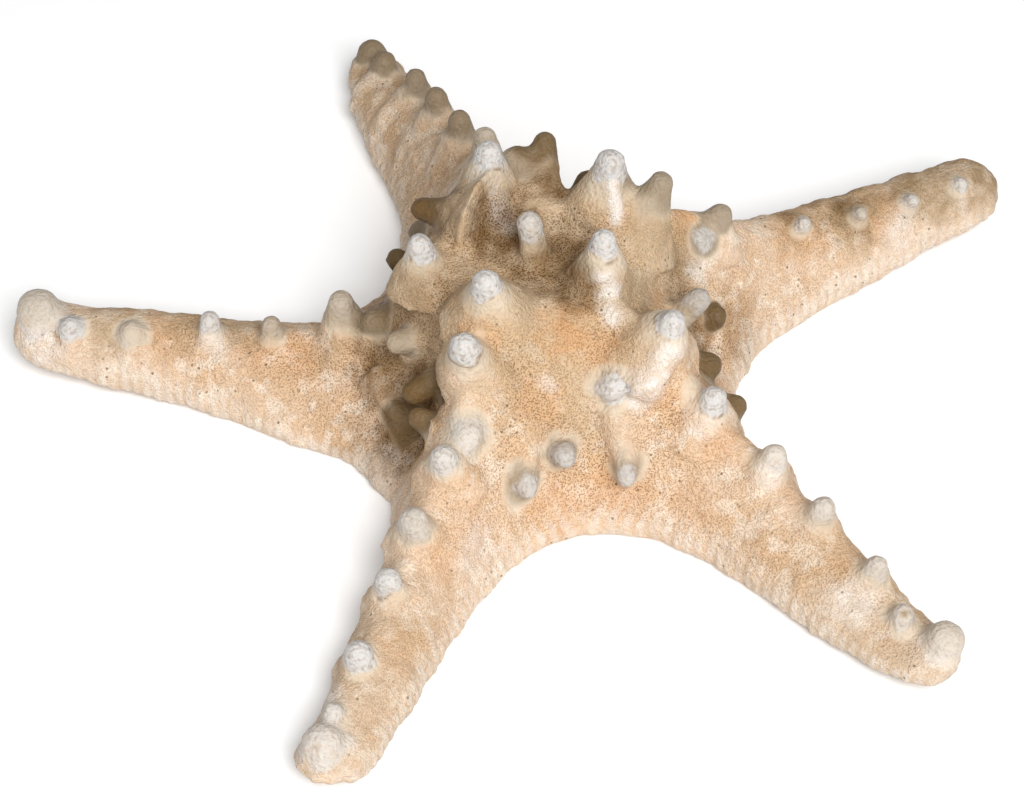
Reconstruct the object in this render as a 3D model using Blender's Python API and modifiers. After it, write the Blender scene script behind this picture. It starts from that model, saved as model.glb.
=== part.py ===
"""A dried knobby starfish: five ridged arms and a tall disc, one hard skeleton in one piece.

Lengths in the tables are millimetres and angles are degrees. The arms are lofted, the disc is
turned, the knobs are shaped from spheres, and a voxel remesh grows them together.
"""

import math

import bmesh
import bpy
from mathutils import Vector

MM = 0.001

# Where the disc's centre stands, so that the origin is under the middle of the bounding box
DISC_CENTRE = (2.1, 0.7)

# The disc's wall: how far out it stands at each of these heights, by azimuth
DISC_HEIGHTS = (32.5, 31.2, 29.0, 25.0, 20.0, 14.0, 9.0, 4.5, 2.0, 0.0, -1.0)
DISC_REACH = {
    32: (13, 18, 21, 23.5, 26, 28, 30, 32, 32.5, 32, 31),
    70: (13, 16.5, 18.5, 20.5, 23, 26, 29.5, 33, 34, 33.5, 32),
    107: (13, 17, 20, 22, 24, 27, 29.5, 31, 32, 32, 31),
    143: (12, 15, 17, 19, 21, 23.5, 27.5, 32.5, 33.5, 33, 31),
    178: (13, 17, 19.5, 21, 22, 24, 27, 30, 31, 31, 30),
    215: (12, 15, 17, 18.5, 20.0, 22, 25.5, 31.5, 34, 33.5, 32),
    226: (12, 15, 17, 18.5, 20.0, 22.5, 26.5, 32.5, 35, 34.5, 33),
    250: (13, 18, 20.5, 22.5, 25, 27, 29, 31, 32, 32, 31),
    288: (12, 15.5, 18.5, 21.5, 25, 28.0, 30.2, 31.2, 31.4, 31.0, 30.0),
    318: (13, 17, 20, 22.5, 25, 27, 29, 31, 32, 32, 31),
    355: (12, 15, 17, 19.5, 22.5, 26, 30, 33.4, 34, 33.5, 32),
}
# Height of the dish on top of the disc, from the centre to the rim: (distance, height)
DISH = ((0.0, 30.3), (5.0, 30.5), (9.0, 31.3), (12.0, 32.4))

# Each arm runs out from the disc's centre, and its azimuth at the root and at the tip are given.
# Along it, by distance: how far its foot reaches to the left and to the right of its middle line,
# the height of its crest, and the crest's step to the left. Left is as seen looking out along it.
# A knob on the crest is (distance, step to the left, height of the tip, radius of the tip, radius
# of the foot, lean outwards).
ARMS = {
    "front_left": {
        "azimuths": (250.0, 249.5),
        "length": 89.0,
        "left": (
            (8, 17), (20, 19), (27, 19.5), (33, 14.5), (38, 11.6), (45, 9.4), (55, 8.0), (65, 7.4),
            (75, 7.0), (89, 6.0),
        ),
        "right": (
            (8, 12), (20, 11.5), (27, 11.8), (33, 11.8), (38, 10.5), (45, 8.1), (55, 6.6),
            (65, 5.9), (75, 5.3), (89, 4.7),
        ),
        "tip_lift": 3.0,
        "crest": (
            (8, 29), (13, 33.5), (20, 35), (27, 31), (33, 25), (39, 20.5), (48, 16.5), (58, 14.2),
            (70, 11.8), (80, 10), (89, 9),
        ),
        "ridge": ((8, 0), (30, -1), (50, -1.2), (80, -1.0), (89, 0)),
        "knobs": (
            (18.0, -1.4, 42.5, 2.2, 7.5, 12),
            (28.0, -1.4, 37.5, 2.3, 6.0, 25),
            (39.5, -0.4, 25.2, 2.0, 5.5, 15),
            (49.5, -1.3, 21.2, 2.2, 5.4, 10),
            (59.5, -1.3, 18.3, 2.0, 4.8, 10),
            (71.5, -1.2, 15.0, 2.2, 4.4, 10),
            (81.0, -1.2, 12.0, 1.5, 3.8, 10),
            (85.5, -0.8, 12.0, 3.2, 4.6, 0),
        ),
    },
    "front_right": {
        "azimuths": (318.0, 314.5),
        "length": 90.0,
        "left": (
            (8, 17), (20, 17), (27, 18.4), (33, 15.6), (38, 12.2), (45, 9.2), (55, 7.6), (65, 6.8),
            (75, 6.0), (90, 5.0),
        ),
        "right": (
            (8, 17), (20, 19), (27, 19.5), (33, 14.5), (38, 11.6), (45, 9.6), (55, 8.8), (65, 8.8),
            (75, 8.1), (90, 5.2),
        ),
        "tip_lift": 3.0,
        "crest": (
            (8, 29), (13, 33.5), (20, 33), (29, 29.5), (37, 21.5), (49, 16), (60, 13), (71, 10),
            (79, 7.5), (89, 8),
        ),
        "ridge": ((8, 0), (30, 0.8), (50, 2.1), (80, 1.3), (90, 0.8)),
        "knobs": (
            (12.7, 2.3, 42.5, 2.2, 7.5, 5),
            (29.2, 0.8, 36.5, 2.1, 7.5, 22),
            (37.8, 1.1, 26.2, 2.1, 6.2, 15),
            (49.5, 2.4, 21.1, 2.0, 5.8, 12),
            (60.2, 2.0, 18.0, 1.9, 5.4, 12),
            (71.8, 1.8, 14.4, 1.8, 5.2, 12),
            (79.0, -0.3, 11.0, 1.9, 4.2, 5),
            (87.0, 1.4, 11.6, 3.0, 4.6, 20),
        ),
    },
    "right": {
        "azimuths": (31.2, 28.6),
        "length": 93.8,
        "left": (
            (8, 17), (20, 19), (27, 19.5), (33, 14.5), (38, 11.8), (45, 10.2), (55, 8.8),
            (65, 7.9), (75, 7.2), (94, 6.4),
        ),
        "right": (
            (8, 17), (20, 19), (27, 19.5), (33, 15.8), (38, 12.8), (45, 10.8), (55, 9.3),
            (65, 8.1), (75, 6.9), (94, 5.3),
        ),
        "tip_lift": 4.0,
        "crest": (
            (8, 29), (12, 34), (20, 33), (27, 30), (31, 27.7), (36, 23.4), (45, 17.8), (53, 15.5),
            (65, 14.2), (76, 13.3), (88, 13.2), (94, 12.2),
        ),
        "ridge": ((8, 0), (36, 0), (48, 2.0), (60, 3.0), (76, 2.6), (93, 1.5)),
        "knobs": (
            (16.6, 3.4, 43.0, 2.5, 8.4, 5),
            (23.8, -1.8, 39.4, 2.0, 7.6, 30),
            (36.2, -0.9, 26.4, 2.2, 5.8, 20),
            (52.6, -1.0, 17.4, 1.7, 3.6, 0),
            (64.6, -0.8, 14.4, 1.5, 3.0, 0),
            (76.4, -0.4, 12.9, 1.5, 3.0, 0),
            (87.0, 0.2, 12.4, 1.3, 3.0, 0),
        ),
    },
    "back": {
        "azimuths": (107.0, 110.0),
        "length": 88.5,
        "left": (
            (8, 17), (20, 19), (27, 19), (33, 14.5), (38, 11.8), (45, 9.4), (55, 8.6), (65, 9.0),
            (75, 8.1), (89, 5.0),
        ),
        "right": (
            (8, 17), (20, 19), (27, 19), (33, 14.0), (38, 10.5), (45, 7.8), (55, 6.4), (65, 5.8),
            (75, 5.0), (89, 4.4),
        ),
        "tip_lift": 3.0,
        "crest": (
            (8, 29), (12, 34), (20, 33), (28, 28), (36, 23), (45, 19), (56, 15), (67, 12.5),
            (78, 10), (88, 9),
        ),
        "ridge": ((8, 0), (30, -0.8), (50, -1.2), (78, -0.5), (88, 0.5)),
        "knobs": (
            (16.5, 2.3, 42.0, 2.4, 8.4, 5),
            (27.7, -0.5, 35.6, 2.0, 6.2, 20),
            (44.0, -1.5, 26.1, 2.0, 5.8, 15),
            (56.5, -1.5, 21.5, 2.0, 5.4, 15),
            (66.5, -1.3, 18.1, 1.9, 5.2, 12),
            (78.0, 0.6, 13.8, 2.0, 4.2, 8),
            (84.5, 0.8, 11.6, 2.8, 4.2, 10),
        ),
    },
    "left": {
        "azimuths": (179.0, 175.0),
        "length": 87.6,
        "left": (
            (8, 17), (20, 19), (27, 19.5), (33, 17.5), (40, 15.1), (45, 13.0), (51, 10.5),
            (58, 8.6), (65, 7.6), (75, 6.7), (88, 5.3),
        ),
        "right": (
            (8, 17), (20, 18), (27, 18), (33, 14), (38, 11.2), (45, 9.4), (55, 8.0), (65, 7.2),
            (75, 6.8), (88, 6.0),
        ),
        "tip_lift": 4.0,
        "crest": (
            (8, 29), (13, 33), (19, 32), (21.5, 28), (23.5, 22), (26, 17), (29, 14.7), (35, 12.5),
            (42, 11.8), (52, 12.2), (65, 12.6), (76, 12.6), (88, 12.8),
        ),
        "ridge": ((8, 0), (30, 0), (45, -0.8), (76, -0.8), (88, -0.5)),
        "knobs": (
            (18.0, 3.5, 38.0, 2.2, 6.0, 5),
            (26.3, 2.4, 20.0, 2.2, 4.6, 10),
            (31.4, 0.0, 21.5, 2.3, 6.0, 5),
            (43.0, 1.0, 16.2, 1.8, 4.0, 5),
            (53.0, 1.0, 16.4, 1.8, 4.0, 0),
            (66.0, 2.6, 13.6, 2.2, 3.6, 0),
            (76.0, 2.8, 13.6, 1.9, 3.2, -5),
            (82.6, -0.4, 15.5, 3.8, 5.0, 5),
        ),
    },
}

# Knobs between the arms and in the dish: (x, y, height of the foot, azimuth it points to, pitch,
# length, radius of the tip, radius of the foot)
SIDE_KNOBS = (
    (0.3, -0.3, 31.0, 116, 70, 8.0, 2.2, 3.4),
    (11.5, -20.5, 22.0, 288, 40, 4.5, 2.2, 5.5),
    (4.0, -27.0, 14.5, 278, 42, 3.2, 2.1, 3.8),
    (-1.5, -30.0, 15.0, 272, -8, 5.5, 2.0, 3.6),
    (14.0, -27.0, 14.5, 282, -8, 5.5, 1.9, 3.6),
    (-10.5, -30.5, 21.5, 295, 50, 3.4, 2.6, 5.5),
    (22.0, -4.0, 19.5, 17, 41, 8.5, 2.0, 5.5),
    (29.0, 4.0, 13.5, 340, 30, 3.5, 1.8, 3.2),
    (25.0, -6.0, 13.0, 355, -5, 6.0, 2.1, 4.2),
    (29.0, -10.5, 8.0, 355, 0, 6.0, 1.9, 3.6),
    (27.0, 14.0, 21.5, 300, 40, 3.5, 1.9, 4.0),
    (-18.5, -8.0, 20.5, 195, 0, 4.5, 2.2, 4.0),
    (-13.5, -15.5, 20.0, 200, -22, 7.5, 2.2, 4.8),
    (-22.5, -11.6, 10.0, 290, -5, 5.0, 2.0, 4.0),
    (-14.5, -24.5, 16.0, 155, 25, 6.0, 1.8, 5.0),
    (-11.0, 11.0, 28.0, 150, 0, 8.5, 2.0, 7.5),
    (-20.3, 11.0, 17.0, 155, 45, 5.0, 2.0, 3.8),
    (-16.0, 24.0, 12.0, 143, 0, 6.0, 2.0, 4.0),
    (1.6, 18.0, 31.8, 83, 50, 7.6, 2.0, 8.6),
    (9.0, 20.0, 26.0, 65, 60, 4.5, 2.6, 5.0),
    (-2.6, 18.4, 31.0, 100, 80, 6.2, 2.8, 5.6),
    (4.0, 30.0, 12.0, 82, -5, 6.0, 2.0, 4.0),
    (15.0, 26.0, 12.0, 62, -5, 6.0, 2.0, 4.0),
)

# How full an arm's cross-section is, from a straight-sided tent (1) to a round hump (2), by distance
FULLNESS = ((0, 1.0), (30, 1.05), (40, 1.25), (52, 1.55), (70, 1.7), (95, 1.9))

# Radius of the rolled edge between an arm's flank and its flat foot
EDGE = 2.6

# The furrow under each arm: (distance, half width, depth), and the mouth it runs out from
FURROW = ((3.0, 2.2, 2.6), (20.0, 2.0, 2.4), (50.0, 1.7, 2.0), (80.0, 1.2, 1.4))
MOUTH_RADIUS = 5.5
MOUTH_DEPTH = 4.5

# How deep a knob's foot goes below the crest that it stands on
KNOB_SINK = 5.0

# Growing together: grid size, then softening passes before and after the knobs are added, the
# share of the triangles that is kept, and how near two points are to be one
VOXEL = 0.9
CORE_SMOOTH_STEPS = 18
SMOOTH_STEPS = 2
TRIANGLES_KEPT = 0.0915
WELD_DISTANCE = 0.03

# Sampling of the arm lofts
STATION_STEP = 2.0
ARCH_POINTS = 20
EDGE_POINTS = 4


def reading(table, at):
    """The value at a distance, on a smooth curve through the table's points."""
    points = [(float(a), float(b)) for a, b in table]
    if at <= points[0][0]:
        return points[0][1]
    if at >= points[-1][0]:
        return points[-1][1]
    last = len(points) - 1
    i = max(k for k in range(last) if points[k][0] <= at)

    def slope(k):
        low, high = points[max(k - 1, 0)], points[min(k + 1, last)]
        return (high[1] - low[1]) / (high[0] - low[0])

    (x0, y0), (x1, y1) = points[i], points[i + 1]
    run = x1 - x0
    t = (at - x0) / run
    return (
        y0 * (1 + 2 * t) * (1 - t) ** 2
        + slope(i) * run * t * (1 - t) ** 2
        + y1 * t * t * (3 - 2 * t)
        + slope(i + 1) * run * t * t * (t - 1)
    )


def heading(arm, distance):
    """The arm's direction in plan at a distance from the centre, in radians: it bends a little."""
    root, tip = arm["azimuths"]
    return math.radians(root + (tip - root) * distance / arm["length"])


def on_arm(arm, distance, side, height):
    """A point of the arm: out along its middle line, then to the left of it, then up."""
    turn = heading(arm, distance)
    out = Vector((math.cos(turn), math.sin(turn), 0.0))
    left = Vector((-out.y, out.x, 0.0))
    return out * distance + left * side + Vector((0.0, 0.0, height))


def foot_lift(arm, distance):
    """How far the underside of an arm has curled up off the table."""
    return arm["tip_lift"] * max(0.0, (distance - 45.0) / (arm["length"] - 45.0)) ** 2


def arm_ring(arm, distance):
    """One closed cross-section of an arm, as points in millimetres."""
    right = reading(arm["right"], distance)
    left = reading(arm["left"], distance)
    half = (left + right) / 2
    ridge = reading(arm["ridge"], distance)
    crest = reading(arm["crest"], distance)
    full = reading(FULLNESS, distance)
    lift = foot_lift(arm, distance)
    edge = min(EDGE, half / 2)
    side_top = lift + edge * 0.85
    bottom = lift - edge * 0.15
    blunt = 1.0
    if distance > arm["length"] - half:
        inset = (distance - arm["length"] + half) / half
        blunt = max(0.02, (max(0.0, 1.0 - inset**2.4)) ** 0.5)
    middle = lift + 0.42 * (crest - lift)
    ring = []
    for k in range(ARCH_POINTS):
        angle = math.pi * k / (ARCH_POINTS - 1)
        out = abs(math.cos(angle)) ** (2 / full)
        across = ridge + (left - ridge) * out if math.cos(angle) > 0 else ridge - (right + ridge) * out
        up = side_top + (crest - side_top) * math.sin(angle) ** (2 / full)
        ring.append((across, up))
    rolled = []
    for k in range(1, EDGE_POINTS + 1):
        angle = math.pi / 2 * k / EDGE_POINTS
        down = side_top - (side_top - bottom) * math.sin(angle)
        rolled.append((edge * (1 - math.cos(angle)), down))
    ring += [(inset - right, down) for inset, down in rolled]
    ring += [(left - inset, down) for inset, down in reversed(rolled)]
    return [on_arm(arm, distance, x * blunt, middle + (z - middle) * blunt) for x, z in ring]


def add_loft(bm, rings):
    """A skin over a row of closed rings, each with the same number of points, closed at both ends."""
    rows = [[bm.verts.new(point) for point in ring] for ring in rings]
    for row, further in zip(rows, rows[1:]):
        for k in range(len(row)):
            j = (k + 1) % len(row)
            bm.faces.new((row[k], row[j], further[j], further[k]))
    bm.faces.new(list(reversed(rows[0])))
    bm.faces.new(rows[-1])


def add_arm(bm, arm):
    stations = [8.0 + STATION_STEP * k for k in range(int(arm["length"] / STATION_STEP))]
    end = arm["length"]
    stations = [s for s in stations if s < end - 8.0]
    stations += [end - 8.0 + 8.0 * math.sin(math.pi / 2 * k / 8) for k in range(9)]
    add_loft(bm, [arm_ring(arm, s) for s in stations])


def disc_reach(azimuth, level):
    """How far out the disc's wall stands at an azimuth in degrees, at one of the heights."""
    angles = sorted(DISC_REACH)
    table = [(a, DISC_REACH[a][level]) for a in angles]
    before = [(a - 360, r) for a, r in table[-2:]]
    after = [(a + 360, r) for a, r in table[:2]]
    return reading(before + table + after, azimuth % 360)


def around(reach, azimuth, height):
    """A point about the disc's axis."""
    turn = math.radians(azimuth)
    return Vector((reach * math.cos(turn), reach * math.sin(turn), height))


def add_disc(bm):
    """The disc: level rings up its wall, then down into the dish on top."""
    turns = [360.0 * k / 96 for k in range(96)]
    rings = []
    for level in reversed(range(len(DISC_HEIGHTS))):
        rings.append([around(disc_reach(a, level), a, DISC_HEIGHTS[level]) for a in turns])
    for share in (0.75, 0.5, 0.25, 0.02):
        reaches = [disc_reach(a, 0) * share for a in turns]
        rings.append([around(r, a, reading(DISH, r)) for r, a in zip(reaches, turns)])
    add_loft(bm, rings)


def add_knob(bm, base, axis, length, tip, foot):
    """A knob with a flared foot and a round tip, standing on base along axis."""
    axis = axis.normalized()
    made = bmesh.ops.create_uvsphere(bm, u_segments=20, v_segments=16, radius=1.0)["verts"]
    turn = axis.to_track_quat("Z", "Y")
    whole = length + KNOB_SINK
    for vert in made:
        rise = (vert.co.z + 1.0) / 2.0
        height = -KNOB_SINK + whole * rise
        flat = Vector((vert.co.x, vert.co.y, 0.0))
        outward = flat.normalized() if flat.length > 1e-6 else Vector((0, 0, 0))
        to_tip = length - height
        share = max(0.0, 1.0 - (height + KNOB_SINK) / (whole - tip))
        radius = tip + (foot - tip) * share**1.8
        if to_tip < tip:
            radius = math.sqrt(max(0.0, tip**2 - (tip - to_tip) ** 2))
        if rise <= 1e-6:
            radius = 0.0
        vert.co = base + turn @ (outward * radius + Vector((0.0, 0.0, height)))


def crest_knobs(arm):
    """(base, axis, length, tip radius, foot radius) of every knob along an arm's crest."""
    for distance, side, top, tip, foot, lean in arm["knobs"]:
        crest = reading(arm["crest"], distance)
        turn = heading(arm, distance)
        out = Vector((math.cos(turn), math.sin(turn), 0.0))
        axis = Vector((0, 0, 1)) * math.cos(math.radians(lean)) + out * math.sin(math.radians(lean))
        length = (top - crest) / math.cos(math.radians(lean))
        base = on_arm(arm, distance, side, top) - axis * length
        yield base, axis, length, tip, foot


def side_knobs():
    """The same for the knobs between the arms and in the dish."""
    for x, y, z, azimuth, pitch, length, tip, foot in SIDE_KNOBS:
        turn, rise = math.radians(azimuth), math.radians(pitch)
        level = math.cos(rise)
        axis = Vector((level * math.cos(turn), level * math.sin(turn), math.sin(rise)))
        yield Vector((x, y, z)), axis, length, tip, foot


def add_furrow(bm, arm):
    """The closed tube that cuts the tube-foot furrow along the underside of an arm."""
    rings = []
    for k in range(12):
        distance = FURROW[0][0] + (FURROW[-1][0] - FURROW[0][0]) * k / 11
        half = reading([(d, w) for d, w, _ in FURROW], distance)
        deep = reading([(d, h) for d, _, h in FURROW], distance)
        ring = []
        for j in range(10):
            angle = 2 * math.pi * j / 10
            height = foot_lift(arm, distance) + deep * math.sin(angle)
            ring.append(on_arm(arm, distance, half * math.cos(angle), height))
        rings.append(ring)
    add_loft(bm, rings)


def clear_scene():
    for obj in list(bpy.data.objects):
        bpy.data.objects.remove(obj)


def collection(name):
    made = bpy.data.collections.new(name)
    bpy.context.scene.collection.children.link(made)
    return made


def skin_material():
    material = bpy.data.materials.new("dried_skin")
    material.use_nodes = True
    shader = material.node_tree.nodes["Principled BSDF"]
    shader.inputs["Base Color"].default_value = (0.62, 0.45, 0.29, 1.0)
    shader.inputs["Roughness"].default_value = 0.75
    shader.inputs["Metallic"].default_value = 0.0
    return material


def new_object(name, bm, home):
    mesh = bpy.data.meshes.new(name)
    bm.to_mesh(mesh)
    bm.free()
    obj = bpy.data.objects.new(name, mesh)
    home.objects.link(obj)
    return obj


def grow_together(obj, voxel, steps):
    remesh = obj.modifiers.new("grown_together", "REMESH")
    remesh.mode = "VOXEL"
    remesh.voxel_size = voxel * MM
    remesh.use_smooth_shade = True
    smooth = obj.modifiers.new("soft_joins", "SMOOTH")
    smooth.factor = 0.5
    smooth.iterations = steps


def cut_away(body, name, bm, home):
    """Subtract a shape, drawn in millimetres about the disc's centre, from the body."""
    bmesh.ops.translate(bm, verts=bm.verts, vec=(*DISC_CENTRE, 0.0))
    bmesh.ops.scale(bm, verts=bm.verts, vec=(MM, MM, MM))
    cutter = new_object(name, bm, home)
    cutter.hide_render = True
    cutter.display_type = "WIRE"
    cut = body.modifiers.new(name, "BOOLEAN")
    cut.operation = "DIFFERENCE"
    cut.solver = "EXACT"
    cut.object = cutter


def main():
    clear_scene()
    parts = collection("dried_starfish")
    cutters = collection("cutters")

    bm = bmesh.new()
    for arm in ARMS.values():
        add_arm(bm, arm)
    add_disc(bm)
    bmesh.ops.recalc_face_normals(bm, faces=bm.faces)
    bmesh.ops.scale(bm, verts=bm.verts, vec=(MM, MM, MM))
    core = new_object("core", bm, cutters)
    grow_together(core, VOXEL, CORE_SMOOTH_STEPS)
    seen = core.evaluated_get(bpy.context.evaluated_depsgraph_get())
    bm = bmesh.new()
    bm.from_mesh(seen.to_mesh())
    bmesh.ops.scale(bm, verts=bm.verts, vec=(1 / MM, 1 / MM, 1 / MM))
    seen.to_mesh_clear()
    bpy.data.objects.remove(core)

    for arm in ARMS.values():
        for knob in crest_knobs(arm):
            add_knob(bm, *knob)
    for knob in side_knobs():
        add_knob(bm, *knob)
    bmesh.ops.recalc_face_normals(bm, faces=bm.faces)
    bmesh.ops.translate(bm, verts=bm.verts, vec=(*DISC_CENTRE, 0.0))
    bmesh.ops.scale(bm, verts=bm.verts, vec=(MM, MM, MM))
    body = new_object("starfish", bm, parts)
    body.data.materials.append(skin_material())
    grow_together(body, VOXEL, SMOOTH_STEPS)
    fewer = body.modifiers.new("fewer_faces", "DECIMATE")
    fewer.ratio = TRIANGLES_KEPT

    bm = bmesh.new()
    bmesh.ops.create_cube(bm, size=1.0)
    bmesh.ops.scale(bm, verts=bm.verts, vec=(300.0, 300.0, 20.0))
    bmesh.ops.translate(bm, verts=bm.verts, vec=(0.0, 0.0, -10.0))
    cut_away(body, "table_block", bm, cutters)

    bm = bmesh.new()
    bmesh.ops.create_uvsphere(bm, u_segments=20, v_segments=10, radius=1.0)
    bmesh.ops.scale(bm, verts=bm.verts, vec=(MOUTH_RADIUS, MOUTH_RADIUS, MOUTH_DEPTH))
    cut_away(body, "mouth", bm, cutters)

    bm = bmesh.new()
    for arm in ARMS.values():
        add_furrow(bm, arm)
    bmesh.ops.recalc_face_normals(bm, faces=bm.faces)
    cut_away(body, "furrows", bm, cutters)

    # The cuts leave a few slivers of edges along the table plane: this closes them
    weld = body.modifiers.new("closed_seams", "WELD")
    weld.merge_threshold = WELD_DISTANCE * MM


main()
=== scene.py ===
import math

import bmesh
import bpy
import numpy as np
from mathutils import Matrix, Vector, noise


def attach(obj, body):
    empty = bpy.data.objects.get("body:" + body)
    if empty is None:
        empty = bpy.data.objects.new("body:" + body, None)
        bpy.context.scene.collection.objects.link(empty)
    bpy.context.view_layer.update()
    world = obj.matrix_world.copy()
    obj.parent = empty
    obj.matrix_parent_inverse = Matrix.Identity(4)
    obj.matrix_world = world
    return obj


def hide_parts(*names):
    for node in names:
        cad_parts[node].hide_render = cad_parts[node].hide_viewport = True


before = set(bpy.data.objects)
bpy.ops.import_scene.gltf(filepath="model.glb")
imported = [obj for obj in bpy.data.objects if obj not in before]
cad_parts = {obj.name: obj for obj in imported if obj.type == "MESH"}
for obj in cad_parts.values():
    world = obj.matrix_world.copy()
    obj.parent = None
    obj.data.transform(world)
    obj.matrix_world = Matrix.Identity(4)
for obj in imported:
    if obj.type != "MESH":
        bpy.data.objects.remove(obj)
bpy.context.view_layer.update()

MM = 0.001
# The disc's centre stands here in the frame, as in the solid. Lengths below are millimetres from
# it, with x to the right, y away from the viewer and z up.
DISC = Vector((2.1, 0.7, 0.0))


# Camera. It looks down on the starfish from the front, a little above half way to straight
# down, from far enough off that the arms keep their proportions.
CAMERA_RISE = 46.0
CAMERA_DISTANCE = 450.0
LENS, SENSOR = 94.92, 36.0
AIM = DISC + Vector((-3.35, -2.79, 0.0))
rise = math.radians(CAMERA_RISE)
lens = bpy.data.cameras.new("camera")
lens.sensor_width = SENSOR
lens.lens = LENS
lens.clip_start = 0.01
camera = bpy.data.objects.new("camera", lens)
bpy.context.scene.collection.objects.link(camera)
stand = AIM + Vector((0.0, -math.cos(rise), math.sin(rise))) * CAMERA_DISTANCE
camera.location = stand * MM
camera.rotation_euler = (AIM - stand).to_track_quat("-Z", "Y").to_euler()
bpy.context.scene.camera = camera


# Starfish skin. One dried body: a limy skeleton of plates under a thin skin, drawn tight over its
# knobs as it dried. The solid's form is taken over with its knobs turned again in finer faces, skin
# and knobs are grown together, and the skin's relief, stains and painted shade are laid on them.

# Each arm: its azimuths at the root and at the tip, its length, and the knobs on its crest as
# (distance out, step to the left, height of the tip, length, radius of the tip, radius of the
# foot, lean outwards, chalk on the tip, darkness of the stem: its own tone and painted shade).
ARMS = {
    "front_left": (
        (250.0, 249.5, 89.0),
        (
            (18.0, -1.4, 42.5, 7.7, 2.2, 7.5, 12, 1.0, 0.0),
            (28.0, -1.4, 37.5, 7.7, 2.3, 6.0, 25, 1.0, 0.0),
            (39.5, -0.4, 25.2, 5.1, 2.0, 5.5, 15, 0.65, 0.1),
            (49.5, -1.3, 21.2, 5.2, 2.2, 5.4, 10, 0.5, 0.3),
            (59.5, -1.3, 18.3, 4.5, 2.0, 4.8, 10, 0.8, 0.2),
            (71.5, -1.2, 15.0, 3.6, 2.2, 4.4, 10, 1.0, 0.1),
            (81.0, -1.2, 12.2, 2.3, 1.5, 3.8, 10, 0.6, 0.1),
            (85.5, -0.8, 12.0, 2.6, 3.2, 4.2, 0, 0.5, 0.2),
        ),
    ),
    "front_right": (
        (318.0, 314.5, 90.0),
        (
            (12.7, 2.3, 42.5, 9.5, 2.1, 6.3, 5, 0.9, 0.0),
            (29.2, 0.8, 36.5, 7.7, 2.1, 7.5, 22, 1.0, 0.0),
            (37.8, 1.1, 26.2, 5.3, 2.1, 6.2, 15, 1.0, 0.0),
            (49.5, 2.4, 21.1, 5.4, 2.0, 5.8, 12, 0.5, 0.1),
            (60.2, 2.0, 18.0, 5.2, 1.9, 5.4, 12, 0.5, 0.2),
            (71.8, 1.8, 14.4, 4.8, 1.8, 5.2, 12, 0.5, 0.2),
            (79.0, -0.3, 11.2, 3.7, 1.9, 4.2, 5, 0.5, 0.2),
            (87.0, 1.4, 11.6, 4.0, 3.0, 4.2, 20, 0.4, 0.25),
        ),
    ),
    "right": (
        (31.2, 28.6, 93.8),
        (
            (16.6, 3.4, 43.0, 9.6, 2.5, 8.4, 5, 1.0, 0.0),
            (23.8, -1.8, 39.4, 9.2, 2.0, 7.6, 30, 0.2, 0.5),
            (36.2, -0.9, 26.4, 3.3, 2.2, 5.8, 20, 0.2, 0.5),
        ),
    ),
    "back": (
        (107.0, 110.0, 88.5),
        (
            (16.5, 2.3, 42.0, 8.5, 2.4, 7.0, 5, 0.9, 0.1),
            (27.7, -0.5, 35.6, 7.9, 2.0, 6.2, 20, 0.3, 0.4),
            (44.0, -1.5, 26.1, 7.0, 2.0, 5.8, 15, 0.1, 0.6),
            (56.5, -1.5, 21.5, 6.9, 2.0, 5.4, 15, 0.1, 0.6),
            (66.5, -1.3, 18.1, 5.8, 1.9, 5.2, 12, 0.1, 0.6),
            (78.0, 0.6, 13.8, 3.8, 2.0, 4.2, 8, 0.1, 0.6),
            (84.5, 0.8, 11.6, 2.4, 2.8, 4.2, 10, 0.15, 0.6),
        ),
    ),
    "left": (
        (179.0, 175.0, 87.6),
        (
            (18.0, 3.5, 38.0, 6.0, 2.2, 6.0, 5, 1.0, 0.0),
            (26.3, 2.4, 20.0, 3.2, 2.2, 4.6, 10, 0.0, 0.6),
            (31.4, 0.0, 21.5, 7.2, 2.3, 6.0, 5, 0.3, 0.4),
            (43.0, 1.0, 16.2, 4.2, 1.8, 4.0, 5, 0.3, 0.4),
            (53.0, 1.0, 16.4, 4.1, 1.8, 4.0, 0, 0.7, 0.2),
            (66.0, 2.6, 13.8, 1.8, 2.2, 3.6, 0, 0.3, 0.15),
            (76.0, 2.8, 13.8, 1.8, 1.9, 3.4, -5, 0.9, 0.1),
            (82.6, -0.4, 15.5, 3.2, 3.8, 5.0, 5, 0.4, 0.25),
        ),
    ),
}
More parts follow.
